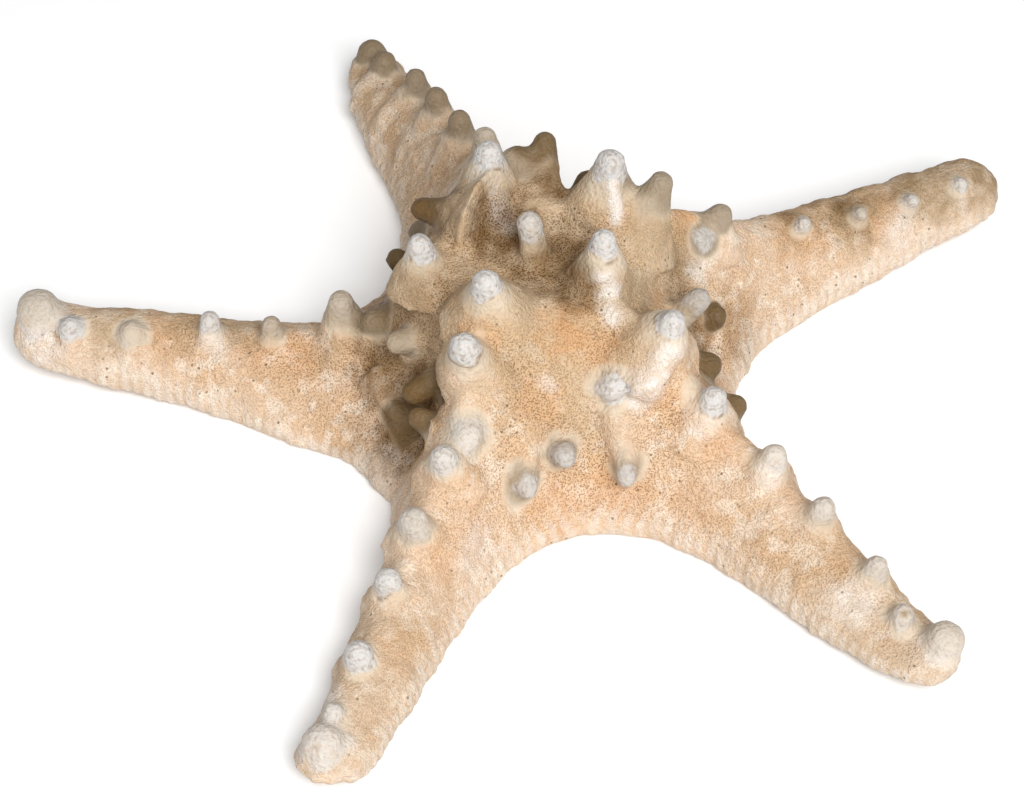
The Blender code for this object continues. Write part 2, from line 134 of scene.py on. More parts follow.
# Between the arms, in the dish and on the right arm's near flank, a knob is (x, y, height of the
# foot, azimuth it points to, pitch, length, radius of the tip, radius of the foot, chalk on the
# tip, darkness of the stem: its own tone and painted shade).
SIDE_KNOBS = (
    (0.3, -0.3, 31.0, 116, 70, 8.0, 2.2, 3.4, 0.6, 0.2),
    (11.5, -20.5, 22.0, 288, 40, 4.5, 2.0, 5.0, 0.75, 0.0),
    (4.2, -27.0, 14.8, 282, 30, 5.4, 2.0, 4.4, 0.6, 0.5),
    (-1.5, -29.5, 15.4, 276, -20, 6.8, 1.9, 4.6, 0.6, 0.45),
    (14.0, -27.0, 15.2, 276, -20, 6.6, 1.7, 4.8, 0.6, 0.45),
    (-10.5, -30.5, 21.5, 295, 50, 3.4, 2.6, 5.5, 0.5, 0.2),
    (22.0, -4.0, 19.5, 17, 41, 8.5, 2.0, 5.5, 0.5, 0.5),
    (29.0, 4.0, 13.5, 340, 30, 3.5, 1.8, 3.2, 0.1, 0.9),
    (25.0, -6.0, 13.0, 355, -5, 6.0, 2.1, 4.2, 0.0, 0.8),
    (29.0, -10.5, 8.0, 355, 0, 6.0, 1.9, 3.6, 0.0, 0.7),
    (27.0, 14.0, 21.5, 300, 40, 3.5, 1.9, 4.0, 0.6, 0.5),
    (-18.5, -8.0, 20.5, 195, 0, 5.2, 2.0, 4.0, 0.0, 0.35),
    (-13.5, -15.5, 20.0, 200, -22, 8.0, 2.1, 4.8, 0.0, 0.8),
    (-22.5, -11.6, 10.0, 290, -5, 5.0, 2.0, 4.0, 0.0, 0.7),
    (-14.5, -24.5, 16.0, 155, 25, 6.0, 1.8, 5.0, 0.0, 0.7),
    (-11.5, 10.0, 30.0, 152, -8, 9.4, 2.0, 9.5, 0.0, 1.0),
    (-20.3, 11.0, 17.0, 155, 45, 5.0, 2.0, 3.8, 0.0, 1.0),
    (-16.0, 24.0, 12.0, 143, 0, 6.0, 2.0, 4.0, 0.0, 0.6),
    (1.6, 18.0, 31.8, 83, 50, 7.6, 2.0, 8.6, 0.1, 0.7),
    (9.0, 20.0, 26.0, 65, 60, 4.5, 2.6, 5.0, 0.0, 1.0),
    (-2.6, 18.4, 31.0, 100, 80, 4.8, 2.8, 5.6, 0.0, 0.4),
    (4.0, 30.0, 12.0, 82, -5, 6.0, 2.0, 4.0, 0.0, 0.6),
    (15.0, 26.0, 12.0, 62, -5, 6.0, 2.0, 4.0, 0.0, 0.6),
    (45.6, 24.6, 15.2, 300, 55, 2.6, 1.3, 2.8, 0.6, 0.2),
    (55.8, 29.9, 12.8, 300, 50, 2.8, 1.3, 2.8, 0.4, 0.3),
    (65.4, 34.4, 11.8, 300, 55, 2.6, 1.3, 2.8, 0.6, 0.1),
    (74.3, 39.0, 11.4, 300, 60, 2.6, 1.3, 2.8, 0.6, 0.1),
)
# How deep each knob is sunk in the body, how far a crest knob's foot spreads past the solid's, how
# steeply the feet flare, the faces round and up a knob, and the grid that all is grown together on
KNOB_SINK = 5.0
CREST_SPREAD, CREST_FLARE, SIDE_FLARE = 1.12, 1.3, 1.8
FACES_ROUND, FACES_UP = 32, 28
SKIN_GRID = 0.62

# Stains, each (x, y, z, radius, strength), with ragged edges. The brown and olive spots are partly
# real stains and partly painted shade on walls, pockets, cavities and flanks turned from the light.
BROWN_STAINS_AND_SHADE = (
    # the dish, and the cone left behind it with painted shade at its foot
    (3.5, -1.0, 30.5, 8.5, 0.8), (7.0, -9.5, 33.0, 5.0, 0.9), (-5.0, 6.0, 31.0, 7.5, 1.0),
    (-13.5, 5.0, 32.0, 6.0, 0.4), (-10.5, 10.5, 30.0, 4.0, 1.0), (-14.5, 11.5, 28.5, 6.0, 1.0),
    (-16.5, 12.5, 26.0, 6.0, 1.0),
    # painted shade on the left wall, in the pocket low on it and in the far left bay
    (-16.5, -8.0, 29.0, 7.0, 0.5), (-20.0, -4.0, 22.0, 7.0, 0.6), (-19.0, -10.5, 20.0, 6.0, 0.3),
    (-18.0, -19.0, 19.5, 8.0, 1.0), (-24.0, -8.0, 12.0, 7.0, 0.8), (-21.5, -18.0, 7.5, 6.5, 1.0),
    (-18.5, -14.5, 15.0, 6.0, 1.0), (-27.0, -19.0, 7.0, 8.0, 0.4), (-22.0, 14.0, 12.0, 8.0, 0.8),
    # painted shade in the cavity behind the back rim
    (7.0, 20.0, 28.5, 6.0, 1.0), (4.0, 16.5, 33.0, 5.5, 1.0), (7.5, 16.0, 31.0, 5.0, 1.0),
    (1.0, 16.5, 37.0, 5.0, 0.8),
    # painted shade on the right wall and in the bay below it
    (25.5, -1.5, 15.0, 7.0, 0.8), (28.5, -12.0, 12.0, 7.0, 0.7), (28.0, -18.5, 16.0, 6.0, 0.5),
    (34.5, 5.0, 8.5, 7.0, 0.4), (24.0, 4.0, 20.0, 5.0, 0.5),
    # the right arm's crest, partly stain and partly painted shade, and beside each of its small
    # knobs
    (52.0, 32.5, 14.0, 7.0, 0.35), (63.0, 38.0, 13.0, 7.0, 0.35), (75.0, 43.0, 12.0, 7.0, 0.35),
    (84.0, 45.5, 11.0, 6.0, 0.4), (43.5, 26.0, 16.0, 2.2, 0.6), (53.5, 31.0, 13.5, 2.6, 0.8),
    (63.0, 35.5, 12.5, 2.2, 0.6), (72.5, 40.0, 12.0, 2.0, 0.5),
)
OLIVE_STAINS_AND_SHADE = (
    # around the disc, olive tone and painted shade on its walls
    (-10.0, 7.5, 33.0, 5.0, 0.5), (24.0, 8.5, 24.5, 5.0, 0.6), (19.5, 5.5, 32.5, 5.0, 0.5),
    (17.0, -7.5, 28.5, 5.0, 0.5), (-25.5, -3.5, 18.0, 7.0, 0.6), (-14.0, -33.0, 16.0, 5.0, 0.4),
    # the right arm
    (42.5, 27.0, 15.5, 7.0, 0.6), (54.5, 31.5, 13.5, 8.0, 1.0), (69.5, 38.0, 12.5, 8.0, 1.0),
    (79.0, 41.5, 12.5, 8.0, 0.9),
    # the left arm
    (-33.0, -2.0, 12.0, 5.0, 0.4), (-48.5, 5.5, 11.0, 7.0, 0.7), (-58.0, 5.0, 12.0, 6.0, 0.6),
    (-68.0, 5.0, 12.0, 7.0, 0.7), (-80.5, 6.5, 15.0, 5.0, 0.9),
    # the back arm
    (-14.0, 35.0, 19.0, 11.0, 0.4), (-23.0, 47.0, 8.0, 12.0, 0.4), (-21.5, 53.0, 12.5, 12.0, 0.5),
    (-27.5, 67.0, 10.0, 12.0, 0.5), (-28.0, 76.0, 9.0, 9.0, 0.8),
    # faintly, duller tone and painted shade on the outer halves of the front arms
    (-26.0, -70.0, 11.0, 22.0, 0.4), (55.0, -56.0, 11.0, 26.0, 0.4), (60.0, -58.0, 9.5, 4.0, 0.3),
)
ORANGE_STAINS = (
    # the disc's front face and the bay below it
    (5.5, -16.0, 30.0, 5.0, 0.9), (10.5, -17.5, 27.5, 4.0, 0.7), (-8.5, -19.0, 33.0, 4.0, 0.6),
    (1.0, -23.5, 22.5, 5.0, 0.6), (18.5, -24.0, 25.0, 4.0, 0.9), (4.0, -33.0, 6.0, 6.0, 0.7),
    (13.5, -30.5, 8.0, 6.0, 0.7),
    # the disc's right side
    (14.5, 7.5, 32.0, 4.0, 0.7), (26.0, 12.5, 26.5, 4.0, 0.9), (20.5, -3.0, 23.0, 4.0, 0.6),
    (29.0, -28.5, 17.5, 4.0, 0.6), (24.5, -33.0, 10.0, 5.0, 0.5),
    # the arms: front left, front right, right and left
    (-10.0, -40.5, 13.5, 5.0, 0.5), (-14.5, -48.0, 13.0, 4.0, 0.6), (-20.0, -63.5, 10.0, 4.0, 0.5),
    (41.0, -36.5, 13.5, 4.0, 0.5), (48.0, -46.5, 11.0, 4.0, 0.5), (43.5, 22.5, 14.0, 5.0, 0.7),
    (60.0, 30.5, 11.5, 5.0, 0.7), (-38.0, -2.5, 10.0, 4.0, 0.6), (-46.5, -0.5, 10.5, 4.0, 0.6),
    (-61.5, 1.5, 11.0, 5.0, 0.6),
)
PALE_STREAKS = (
    # down from the knobs around the dish
    (12.5, 8.5, 38.5, 1.8, 1.0), (13.5, 6.5, 34.0, 1.3, 0.8), (11.5, -10.5, 33.5, 2.0, 0.9),
    (12.0, -13.0, 31.5, 1.8, 0.7), (-8.0, 12.0, 37.5, 2.2, 0.6),
    # the white ridge on the front face
    (20.5, -20.5, 31.5, 2.2, 0.9), (17.5, -22.5, 24.5, 3.0, 1.0), (16.5, -23.0, 21.5, 2.0, 0.8),
    # faint patches below the crests
    (2.0, -22.0, 24.5, 2.0, 0.4), (27.5, 8.0, 20.5, 3.0, 0.5), (-10.5, -33.0, 23.5, 3.0, 0.5),
    (26.0, -26.5, 21.0, 3.0, 0.5), (36.5, -34.0, 18.0, 3.0, 0.7), (-24.5, -22.5, 4.0, 5.0, 0.25),
    # the arms: front left, front right, right and left
    (-8.5, -42.5, 9.5, 5.0, 0.4), (-30.0, -72.0, 9.0, 3.0, 0.6), (-31.0, -80.5, 10.0, 5.0, 0.6),
    (48.0, -52.5, 8.5, 5.0, 0.5), (61.0, -62.0, 9.5, 5.0, 0.5), (63.5, 30.0, 9.0, 4.0, 0.5),
    (-52.5, 0.0, 11.5, 3.0, 0.5), (-82.0, 1.5, 9.0, 5.0, 0.6), (-79.0, 5.0, 13.5, 3.0, 0.5),
)
# Ribs, each (start, end, half width, height, paleness)
RIBS = (
    # the white ridge on the front face, and chalk run down from two knobs of the dish's rim
    ((13.0, -22.0, 24.5), (17.5, -22.5, 24.5), 1.8, 1.0, 1.0),
    ((17.5, -22.5, 24.5), (21.0, -20.0, 31.0), 2.3, 1.3, 1.0),
    ((12.5, 9.0, 40.0), (13.5, 5.5, 33.0), 1.3, 0.6, 1.0),
    ((11.0, -10.0, 36.0), (12.5, -14.0, 31.0), 1.8, 0.6, 0.9),
    # low folds from knob to knob around the dish
    ((12.5, -8.0, 36.0), (20.5, -16.0, 32.0), 3.5, 0.6, 0.0),
    ((-7.5, 13.0, 38.0), (-4.5, 6.5, 31.5), 2.0, 0.4, 0.4),
    ((-16.0, 2.0, 33.5), (-10.0, 6.0, 32.0), 2.2, 0.8, 0.0),
    # pleats down the back arm's left face
    ((-9.0, 28.0, 27.0), (-19.0, 26.0, 9.0), 2.4, 0.9, 0.2),
    ((-16.0, 41.5, 20.0), (-25.0, 37.0, 6.0), 2.2, 0.9, 0.2),
    ((-20.0, 53.0, 16.0), (-29.0, 47.0, 5.0), 2.2, 0.9, 0.2),
    ((-23.5, 62.5, 13.0), (-32.0, 57.0, 5.0), 2.0, 0.8, 0.2),
    ((-27.0, 73.5, 11.0), (-34.0, 69.0, 5.0), 2.0, 0.7, 0.2),
    # chalk run down from the right arm's small knobs
    ((47.0, 22.5, 15.5), (48.5, 20.0, 12.0), 1.1, 0.4, 0.8),
    ((57.0, 28.0, 13.5), (58.0, 25.5, 10.5), 1.1, 0.4, 0.8),
    ((66.5, 32.5, 12.5), (67.5, 30.0, 9.5), 1.2, 0.4, 0.9),
    ((75.5, 37.0, 11.5), (76.0, 34.5, 8.0), 1.2, 0.4, 0.8),
)
# Pits, each (x, y, z, radius, depth)
PITS = (
    # the pocket low on the left wall, the cavity behind the back rim
    (-19.5, -13.0, 12.0, 6.0, 2.6), (-16.5, -21.5, 12.0, 4.0, 1.6), (7.5, 18.0, 31.0, 4.5, 2.5),
    # the hollow knob near the front right tip, and the slit in the front left one
    (55.5, -57.0, 11.0, 1.1, 0.9), (-31.5, -82.0, 11.0, 0.9, 0.9), (-31.5, -83.0, 10.0, 0.9, 0.9),
    (-32.0, -83.5, 8.5, 0.8, 0.9),
)
# Rosettes, small rings of raised pores, each (x, y, z, radius)
ROSETTES = ((-2.0, -22.0, 26.0, 1.5), (-8.0, -18.5, 35.0, 1.5), (27.0, 11.0, 24.0, 1.8))

knobs = []
for (root, tip_azimuth, reach), row in ARMS.values():
    for out, step, top, length, tip, foot, lean, chalk, dark in row:
        turn = math.radians(root + (tip_azimuth - root) * out / reach)
        ahead = Vector((math.cos(turn), math.sin(turn), 0.0))
        left = Vector((-ahead.y, ahead.x, 0.0))
        tilt = math.radians(lean)
        axis = (Vector((0, 0, 1)) * math.cos(tilt) + ahead * math.sin(tilt)).normalized()
        point = ahead * out + left * step + Vector((0.0, 0.0, top))
        wide = CREST_SPREAD * foot
        knobs.append((point - axis * length, axis, length, tip, wide, CREST_FLARE, chalk, dark))
for x, y, z, azimuth, pitch, length, tip, foot, chalk, dark in SIDE_KNOBS:
    turn, tilt = math.radians(azimuth), math.radians(pitch)
    level = math.cos(tilt)
    axis = Vector((level * math.cos(turn), level * math.sin(turn), math.sin(tilt)))
    knobs.append((Vector((x, y, z)), axis, length, tip, foot, SIDE_FLARE, chalk, dark))

bm = bmesh.new()
bmesh.ops.create_uvsphere(bm, u_segments=FACES_ROUND, v_segments=FACES_UP, radius=1.0)
ball = bpy.data.meshes.new("ball")
knob_mesh = bpy.data.meshes.new("knob")
bm.to_mesh(ball)
bm.free()

bm = bmesh.new()
bm.from_mesh(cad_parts["starfish"].data)
bmesh.ops.remove_doubles(bm, verts=bm.verts, dist=1e-7)
bmesh.ops.scale(bm, verts=bm.verts, vec=(1 / MM, 1 / MM, 1 / MM))
bmesh.ops.translate(bm, verts=bm.verts, vec=-DISC)
for base, axis, length, tip, foot, flare, chalk, dark in knobs:
    one = bmesh.new()
    one.from_mesh(ball)
    upright = axis.to_track_quat("Z", "Y")
    for vert in one.verts:
        height = -KNOB_SINK + (length + KNOB_SINK) * (vert.co.z + 1.0) / 2.0
        share = max(0.0, 1.0 - (height + KNOB_SINK) / (length + KNOB_SINK - tip))
        radius = tip + (foot - tip) * share**flare
        if length - height < tip:
            radius = math.sqrt(max(0.0, tip**2 - (tip - length + height) ** 2))
        flat = Vector((vert.co.x, vert.co.y, 0.0))
        flat = flat.normalized() * radius if flat.length > 1e-6 else Vector((0, 0, 0))
        vert.co = base + upright @ (flat + Vector((0.0, 0.0, height)))
    one.to_mesh(knob_mesh)
    one.free()
    bm.from_mesh(knob_mesh)
bmesh.ops.recalc_face_normals(bm, faces=bm.faces)
rough_mesh = bpy.data.meshes.new("starfish_rough")
bm.to_mesh(rough_mesh)
bm.free()
rough = bpy.data.objects.new("starfish_rough", rough_mesh)
bpy.context.scene.collection.objects.link(rough)
grow = rough.modifiers.new("grown_together", "REMESH")
grow.mode = "VOXEL"
grow.voxel_size = SKIN_GRID
grown = rough.evaluated_get(bpy.context.evaluated_depsgraph_get())
skin_mesh = bpy.data.meshes.new_from_object(grown)
skin_mesh.name = "starfish_skin"
bpy.data.objects.remove(rough)

# The flat underside needs few faces, so they are dissolved there, clear of the furrows.
FLAT_BELOW, FLAT_FACING, FLAT_ANGLE = 0.2, -0.95, 3.0
bm = bmesh.new()
bm.from_mesh(skin_mesh)
under = [v for v in bm.verts if v.co.z < FLAT_BELOW and v.normal.z < FLAT_FACING]
inside = set(under)
between = [e for e in bm.edges if e.verts[0] in inside and e.verts[1] in inside]
bmesh.ops.dissolve_limit(bm, angle_limit=math.radians(FLAT_ANGLE), verts=under, edges=between)
bmesh.ops.triangulate(bm, faces=[f for f in bm.faces if len(f.verts) > 4])
bm.to_mesh(skin_mesh)
bm.free()
skin = bpy.data.objects.new("starfish_skin", skin_mesh)
bpy.context.scene.collection.objects.link(skin)
skin_mesh.shade_smooth()

count = len(skin_mesh.vertices)
places = np.empty(count * 3)
skin_mesh.vertices.foreach_get("co", places)
places = places.reshape(-1, 3)
ends = np.empty(len(skin_mesh.edges) * 2, dtype=np.int64)
skin_mesh.edges.foreach_get("vertices", ends)
ends = ends.reshape(-1, 2)
neighbours = np.bincount(ends.ravel(), minlength=count)[:, None].astype(float)


def softened(values, steps, share=0.5):
    """The values after each vertex has moved part of the way to its neighbours' mean."""
    for _ in range(steps):
        total = np.empty_like(values)
        for k in range(values.shape[1]):
            one_way = np.bincount(ends[:, 0], values[ends[:, 1], k], count)
            total[:, k] = one_way + np.bincount(ends[:, 1], values[ends[:, 0], k], count)
        values = values + share * (total / neighbours - values)
    return values


def facing():
    """The normals of the skin as it stands."""
    skin_mesh.vertices.foreach_set("co", places.ravel())
    skin_mesh.update()
    found = np.empty(count * 3)
    skin_mesh.vertex_normals.foreach_get("vector", found)
    return found.reshape(-1, 3)


def ramp(values, low, high):
    """0 below low, 1 above high, and a smooth rise between them."""
    t = np.clip((values - low) / (high - low), 0.0, 1.0)
    return t * t * (3 - 2 * t)


def grain(points, scale, seed):
    """Smooth noise from -1 to 1, with lumps about scale millimetres apart."""
    shift = Vector((seed * 17.3, seed * 5.1, seed * 9.7))
    return np.array([noise.noise(Vector(p) / scale + shift) for p in points.tolist()])


def stained(table):
    """How strongly each place is stained by a table's spots, with ragged edges."""
    found = np.zeros(count)
    for x, y, z, radius, strength in table:
        away = np.sqrt(((places - (x, y, z)) ** 2).sum(1)) / radius
        found = np.maximum(found, strength * ramp(-away - 0.45 * ragged, -1.35, -0.35))
    return found


# The steps of the grid are softened away. The relief fades out towards the flat foot, and the same
# coarse noise makes the edges of all stains and caps ragged.
STEP_SOFTENING = 3
places = softened(places, STEP_SOFTENING)
normals = facing()
above = ramp(places[:, 2], 0.3, 1.2)
ragged = grain(places, 2.2, 1)

# Distance out along the nearest arm
nearness = np.full(count, -1e9)
along = np.zeros(count)
for (root, tip_azimuth, reach), row in ARMS.values():
    turn = math.radians((root + tip_azimuth) / 2)
    out = places[:, 0] * math.cos(turn) + places[:, 1] * math.sin(turn)
    side = places[:, 1] * math.cos(turn) - places[:, 0] * math.sin(turn)
    nearer = out - np.abs(side) > nearness
    nearness = np.where(nearer, out - np.abs(side), nearness)
    along = np.where(nearer, out, along)

# Where the knobs are: chalk caps and their cracked rims, clear stems below them, and how dark each
# stem is, by its own tone and by painted shade. Each knob is looked for this far from its tip's
# centre.
KNOB_ABOVE, KNOB_AROUND = 6.0, 9.0
cap = np.zeros(count)
rim = np.zeros(count)
stem = np.zeros(count)
shade = np.zeros(count)
for base, axis, length, tip, foot, flare, chalk, dark in knobs:
    point = np.array(base + axis * (length - tip))
    away = places - point
    down = -(away @ np.array(axis))
    side = np.sqrt(np.maximum(0.0, (away**2).sum(1) - down**2))
    near = (down > -KNOB_ABOVE) & (side < KNOB_AROUND) & (down < KNOB_AROUND)
    spread = np.sqrt(side**2 + np.maximum(0.0, 0.75 * down) ** 2) / tip + 0.4 * ragged
    on_cap = ramp(-spread, -1.55, -0.95)
    on_rim = ramp(on_cap, 0.10, 0.30) * ramp(-on_cap, -0.60, -0.35) * ramp(chalk, 0.4, 0.9)
    on_stem = ramp(-down - 1.3 * ragged, -(0.8 * length + 0.5), -(0.1 * length))
    on_stem = on_stem * ramp(-side, -(0.8 * foot + 1.2), -0.55 * foot)
    cap = np.maximum(cap, np.where(near, on_cap * chalk, 0.0))
    rim = np.maximum(rim, np.where(near, on_rim, 0.0))
    stem = np.maximum(stem, np.where(near, on_stem, 0.0))
    shade = np.maximum(shade, np.where(near, on_stem * dark, 0.0))

# How hollow each place is against the form around it, after many steps of softening; this
# sets where shade is painted in the hollows
BROAD_SOFTENING = 120
hollow = ((softened(places, BROAD_SOFTENING) - places) * normals).sum(1)

brown_and_shade = stained(BROWN_STAINS_AND_SHADE)
olive_and_shade = stained(OLIVE_STAINS_AND_SHADE)
orange = stained(ORANGE_STAINS)
pale = stained(PALE_STREAKS)
disc = ramp(-np.hypot(places[:, 0], places[:, 1]) - 3.0 * ragged, -36.0, -20.0)
disc = disc * ramp(places[:, 2], 8.0, 18.0)
margin = ramp(places[:, 2], 0.2, 1.2) * ramp(-places[:, 2], -10.0, -4.0)
margin = margin * ramp(-normals[:, 2], -0.75, -0.35)

# Relief: low swellings, lumps and pebbles of the skin, grains and lumps of chalk on the caps,
# plates along the margins, wrinkles down the back arm, rosettes and raised streaks
SWELLINGS, LUMPS, PEBBLES = 0.50, 0.30, 0.16
CHALK_GRAINS, CHALK_LUMPS = 0.12, 0.10
PLATES, PLATE_PITCH = 0.28, 1.9
WRINKLES = 0.30
ROSETTE_RING, ROSETTE_HOLE = 0.25, 0.20
STREAK_RISE, STREAK_GRAINS = 0.12, 0.16
smooth_parts = np.maximum(cap, 0.8 * stem)
rough_parts = 1.0 - 0.7 * smooth_parts
relief = rough_parts * (SWELLINGS * grain(places, 6.0, 2) + LUMPS * grain(places, 2.6, 3))
relief = relief + rough_parts * PEBBLES * grain(places, 1.3, 4)
relief = relief + cap * (CHALK_GRAINS * grain(places, 1.1, 5) + CHALK_LUMPS * grain(places, 2.2, 6))
plates = np.abs(np.sin(math.pi * along / PLATE_PITCH + 0.6 * ragged)) ** 0.6 - 0.6
relief = relief + PLATES * margin * plates
stretched = places * (0.22, 0.22, 1.0)
back_arm = ramp(places[:, 1], 26.0, 34.0) * ramp(-np.abs(places[:, 0] + 22.0), -22.0, -16.0)
relief = relief + WRINKLES * back_arm * (1.0 - smooth_parts) * grain(stretched, 1.5, 7)
for x, y, z, radius in ROSETTES:
    away = np.sqrt(((places - (x, y, z)) ** 2).sum(1))
    ring, hole = ramp(-np.abs(away - 0.7 * radius), -0.6, 0.0), ramp(-away, -0.7, 0.0)
    relief = relief + ROSETTE_RING * ring - ROSETTE_HOLE * hole
relief = relief + STREAK_RISE * pale
pale = np.maximum(pale, 0.40 * margin * ramp(plates, -0.1, 0.3))
for start, end, half, height, paleness in RIBS:
    start, way = np.array(start), np.array(end) - np.array(start)
    share = np.clip(((places - start) @ way) / (way @ way), 0.0, 1.0)
    away = np.sqrt(((places - start - share[:, None] * way) ** 2).sum(1)) / half
    on_rib = ramp(-away - 0.3 * ragged, -1.5, -0.1)
    relief = relief + height * on_rib * (1.0 - cap)
    pale = np.maximum(pale, paleness * on_rib)
for x, y, z, radius, depth in PITS:
    away = np.sqrt(((places - (x, y, z)) ** 2).sum(1)) / radius
    sunk = ramp(-away - 0.2 * ragged, -1.1, -0.1)
    relief = relief - depth * sunk * (1.0 - 0.8 * stem)
    # The pits are painted dark: painted shade in them
    brown_and_shade = np.maximum(brown_and_shade, sunk)
    cap = cap * (1.0 - sunk)
relief = relief + STREAK_GRAINS * pale * grain(places, 1.2, 8)
stem = stem * (1.0 - 0.85 * pale)
places = (places + normals * (relief * above)[:, None] + np.array(DISC)) * MM
skin_mesh.vertices.foreach_set("co", places.ravel())
skin_mesh.update()

masks = {
    "cap": cap, "rim": rim, "stem": stem, "shade": shade, "hollow": hollow, "brown_and_shade": brown_and_shade,
    "olive_and_shade": olive_and_shade, "orange": orange, "pale": pale, "disc": disc, "margin": margin,
}
for name, values in masks.items():
    layer = skin_mesh.attributes.new(name, "FLOAT", "POINT")
    layer.data.foreach_set("value", values.astype(np.float32))

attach(skin, "root")
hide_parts("starfish")

material = bpy.data.materials.new("dried_skin_and_chalk")
material.use_nodes = True
tree = material.node_tree
shader = tree.nodes["Principled BSDF"]
where = tree.nodes.new("ShaderNodeTexCoord").outputs["Object"]


def fed(socket, value):
    """Set a shader socket to a number or colour, or link it to another socket."""
    if isinstance(value, bpy.types.NodeSocket):
        tree.links.new(value, socket)
    else:
        socket.default_value = value


def spots(name):
    """One of the masks kept on the mesh."""
    found = tree.nodes.new("ShaderNodeAttribute")
    found.attribute_name = name
    return found.outputs["Fac"]


def eased(value, low, high, to_low=0.0, to_high=1.0):
    """The value, from low to high, brought smoothly to another range and held inside it."""
    made = tree.nodes.new("ShaderNodeMapRange")
    made.interpolation_type = "SMOOTHSTEP"
    for socket, number in zip(made.inputs[:5], (value, low, high, to_low, to_high)):
        fed(socket, number)
    return made.outputs[0]


def worked(operation, first, second):
    """Two values added, multiplied or taken from each other."""
    made = tree.nodes.new("ShaderNodeMath")
    made.operation = operation
    fed(made.inputs[0], first)
    fed(made.inputs[1], second)
    return made.outputs[0]


def laid(amount, under_colour, over_colour, blend="MIX"):
    """One colour laid over another by an amount."""
    made = tree.nodes.new("ShaderNodeMix")
    made.data_type = "RGBA"
    made.blend_type = blend
    fed(made.inputs[0], amount)
    fed(made.inputs[6], under_colour)
    fed(made.inputs[7], over_colour)
    return made.outputs[2]


def cloud(scale, detail, seed):
    """Noise on the piece's own coordinates, moved by a seed."""
    made = tree.nodes.new("ShaderNodeTexNoise")
    moved = tree.nodes.new("ShaderNodeVectorMath")
    fed(moved.inputs[0], where)
    fed(moved.inputs[1], (seed, 0.6 * seed, -seed))
    fed(made.inputs["Vector"], moved.outputs[0])
    fed(made.inputs["Scale"], scale)
    fed(made.inputs["Detail"], detail)
    return made.outputs[0]


# Colours of the skin, its stains and its painted shade, of the stems and of the chalk
PALE_CREAM = (0.645, 0.48, 0.345, 1)
WARM_CREAM = (0.61, 0.415, 0.26, 1)
CREAM_FLECKS = (0.74, 0.62, 0.50, 1)
MARGIN_CREAM = (0.70, 0.57, 0.44, 1)
DISC_TAN = (0.46, 0.335, 0.20, 1)
SKIN_ORANGE = (0.56, 0.30, 0.135, 1)
SKIN_OLIVE_AND_SHADE = (0.32, 0.225, 0.125, 1)
HOLLOW_SHADE = (0.28, 0.16, 0.055, 1)
DARK_BROWN_AND_SHADE = (0.15, 0.08, 0.024, 1)
LIMY_WHITE = (0.74, 0.69, 0.64, 1)
PORE_SHADE = (0.42, 0.30, 0.20, 1)
PEBBLE_LIGHT = (1.17, 1.16, 1.13, 1)
PINHOLE_BROWN = (0.14, 0.08, 0.03, 1)
CLEAR_STEM = (0.57, 0.485, 0.375, 1)
DARK_STEM = (0.10, 0.064, 0.025, 1)
STAINED_AND_SHADED_STEM = (0.16, 0.09, 0.032, 1)
CHALK_WHITE = (0.535, 0.52, 0.505, 1)
CHALK_PITS = (0.34, 0.29, 0.25, 1)
CRACK_BROWN = (0.16, 0.10, 0.06, 1)
# Scales of the patterns, in lumps to about a metre
BROAD_SCALE, MOTTLE_SCALE, CRACK_SCALE = 70.0, 330.0, 260.0
PORE_SCALE, PEBBLE_SCALE, CHALK_SCALE, PINHOLE_SCALE = 4000.0, 1500.0, 1500.0, 620.0

cap_mask, rim_mask = spots("cap"), spots("rim")
stem_mask, shade_mask = spots("stem"), spots("shade")
brown_and_shade_mask, olive_and_shade_mask, orange_mask = spots("brown_and_shade"), spots("olive_and_shade"), spots("orange")
hollow_shade_mask, pale_mask = spots("hollow"), spots("pale")
disc_mask, margin_mask = spots("disc"), spots("margin")
broad = cloud(BROAD_SCALE, 3.0, 0.0)
mottle = cloud(MOTTLE_SCALE, 3.0, 0.4)
maze = cloud(PORE_SCALE, 0.5, 0.2)
pebbles = cloud(PEBBLE_SCALE, 1.0, 0.9)
dots = tree.nodes.new("ShaderNodeTexVoronoi")
fed(dots.inputs["Vector"], where)
fed(dots.inputs["Scale"], PINHOLE_SCALE)

# The skin's own colour, then its stains and the painted shade on walls, in pockets and in hollows
cream = laid(eased(broad, 0.40, 0.62), PALE_CREAM, WARM_CREAM)
cream = laid(eased(mottle, 0.48, 0.64, 0.0, 0.7), cream, CREAM_FLECKS)
cream = laid(eased(margin_mask, 0.0, 1.0, 0.0, 0.35), cream, MARGIN_CREAM)
cream = laid(eased(disc_mask, 0.0, 1.0, 0.0, 0.65), cream, DISC_TAN)
orange_amount = worked("MULTIPLY", orange_mask, eased(mottle, 0.30, 0.60, 0.25, 0.85))
olive_and_shade_amount = worked("MULTIPLY", olive_and_shade_mask, eased(mottle, 0.30, 0.62, 0.9, 0.6))
brown_and_shade_amount = worked("MULTIPLY", brown_and_shade_mask, eased(mottle, 0.30, 0.62, 1.0, 0.75))
white_amount = worked("MULTIPLY", pale_mask, eased(mottle, 0.35, 0.55, 0.6, 1.0))
stained_skin = laid(orange_amount, cream, SKIN_ORANGE)
# Olive, partly the skin's own tone and partly painted shade on walls and flanks turned from the
# light
stained_skin = laid(olive_and_shade_amount, stained_skin, SKIN_OLIVE_AND_SHADE)
# Painted shade in the hollows
stained_skin = laid(eased(hollow_shade_mask, 0.2, 2.8, 0.0, 0.75), stained_skin, HOLLOW_SHADE)
# Brown stains laid together with painted shade on the walls, in the pockets, the cavity and the
# pits
stained_skin = laid(brown_and_shade_amount, stained_skin, DARK_BROWN_AND_SHADE)
stained_skin = laid(white_amount, stained_skin, LIMY_WHITE)

